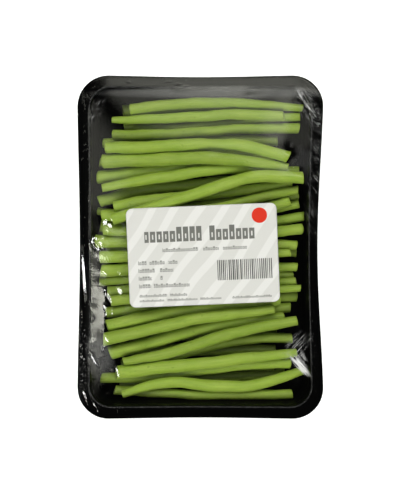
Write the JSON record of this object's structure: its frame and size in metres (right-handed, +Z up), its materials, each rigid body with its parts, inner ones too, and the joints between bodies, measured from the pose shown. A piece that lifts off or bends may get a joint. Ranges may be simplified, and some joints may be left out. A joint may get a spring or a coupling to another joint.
{
  "type": "tray pack of green beans",
  "caption": "Fine green beans, trimmed and laid side by side in a black plastic tray, held down by clear stretch film with a paper label.",
  "frame": {"origin": "centre of the pack's box at its base, on the surface that it rests on", "axes": "+X across the tray, along the beans, towards the right of the label's print; +Y along the tray's long side, towards the top of the print; +Z up, out of the tray"},
  "size_m": [0.1362, 0.1897, 0.0327],
  "materials": {
    "tray_plastic": "black thermoformed sheet, glossy",
    "bean_skin": "fresh green pod skin, satin, seen through film",
    "clear_film": "clear stretch film, very glossy",
    "label_paper": "coated paper label, satin, printed"
  },
  "bodies": {
    "root": {"tray": "tray_plastic", "bean_01": "bean_skin", "bean_02": "bean_skin", "bean_03": "bean_skin", "bean_04": "bean_skin", "bean_05": "bean_skin", "bean_06": "bean_skin", "bean_07": "bean_skin", "bean_08": "bean_skin", "bean_09": "bean_skin", "bean_10": "bean_skin", "bean_11": "bean_skin", "bean_12": "bean_skin", "bean_13": "bean_skin", "bean_14": "bean_skin", "bean_15": "bean_skin", "bean_16": "bean_skin", "bean_17": "bean_skin", "bean_18": "bean_skin", "bean_19": "bean_skin", "bean_20": "bean_skin", "bean_21": "bean_skin", "bean_22": "bean_skin", "bean_23": "bean_skin", "bean_24": "bean_skin", "bean_25": "bean_skin", "bean_26": "bean_skin", "bean_27": "bean_skin", "bean_28": "bean_skin", "bean_29": "bean_skin", "bean_30": "bean_skin", "bean_31": "bean_skin", "bean_32": "bean_skin", "bean_33": "bean_skin", "bean_34": "bean_skin", "bean_35": "bean_skin", "bean_36": "bean_skin", "bean_37": "bean_skin", "bean_38": "bean_skin", "bean_39": "bean_skin", "bean_40": "bean_skin", "bean_41": "bean_skin", "bean_42": "bean_skin", "bean_43": "bean_skin", "bean_44": "bean_skin", "bean_45": "bean_skin", "bean_46": "bean_skin", "bean_47": "bean_skin", "bean_48": "bean_skin", "bean_49": "bean_skin", "bean_50": "bean_skin", "bean_51": "bean_skin", "bean_52": "bean_skin", "bean_53": "bean_skin", "bean_54": "bean_skin", "bean_55": "bean_skin", "bean_56": "bean_skin", "bean_57": "bean_skin", "film_wrap": "clear_film", "label": "label_paper"}
  },
  "joints": []
}
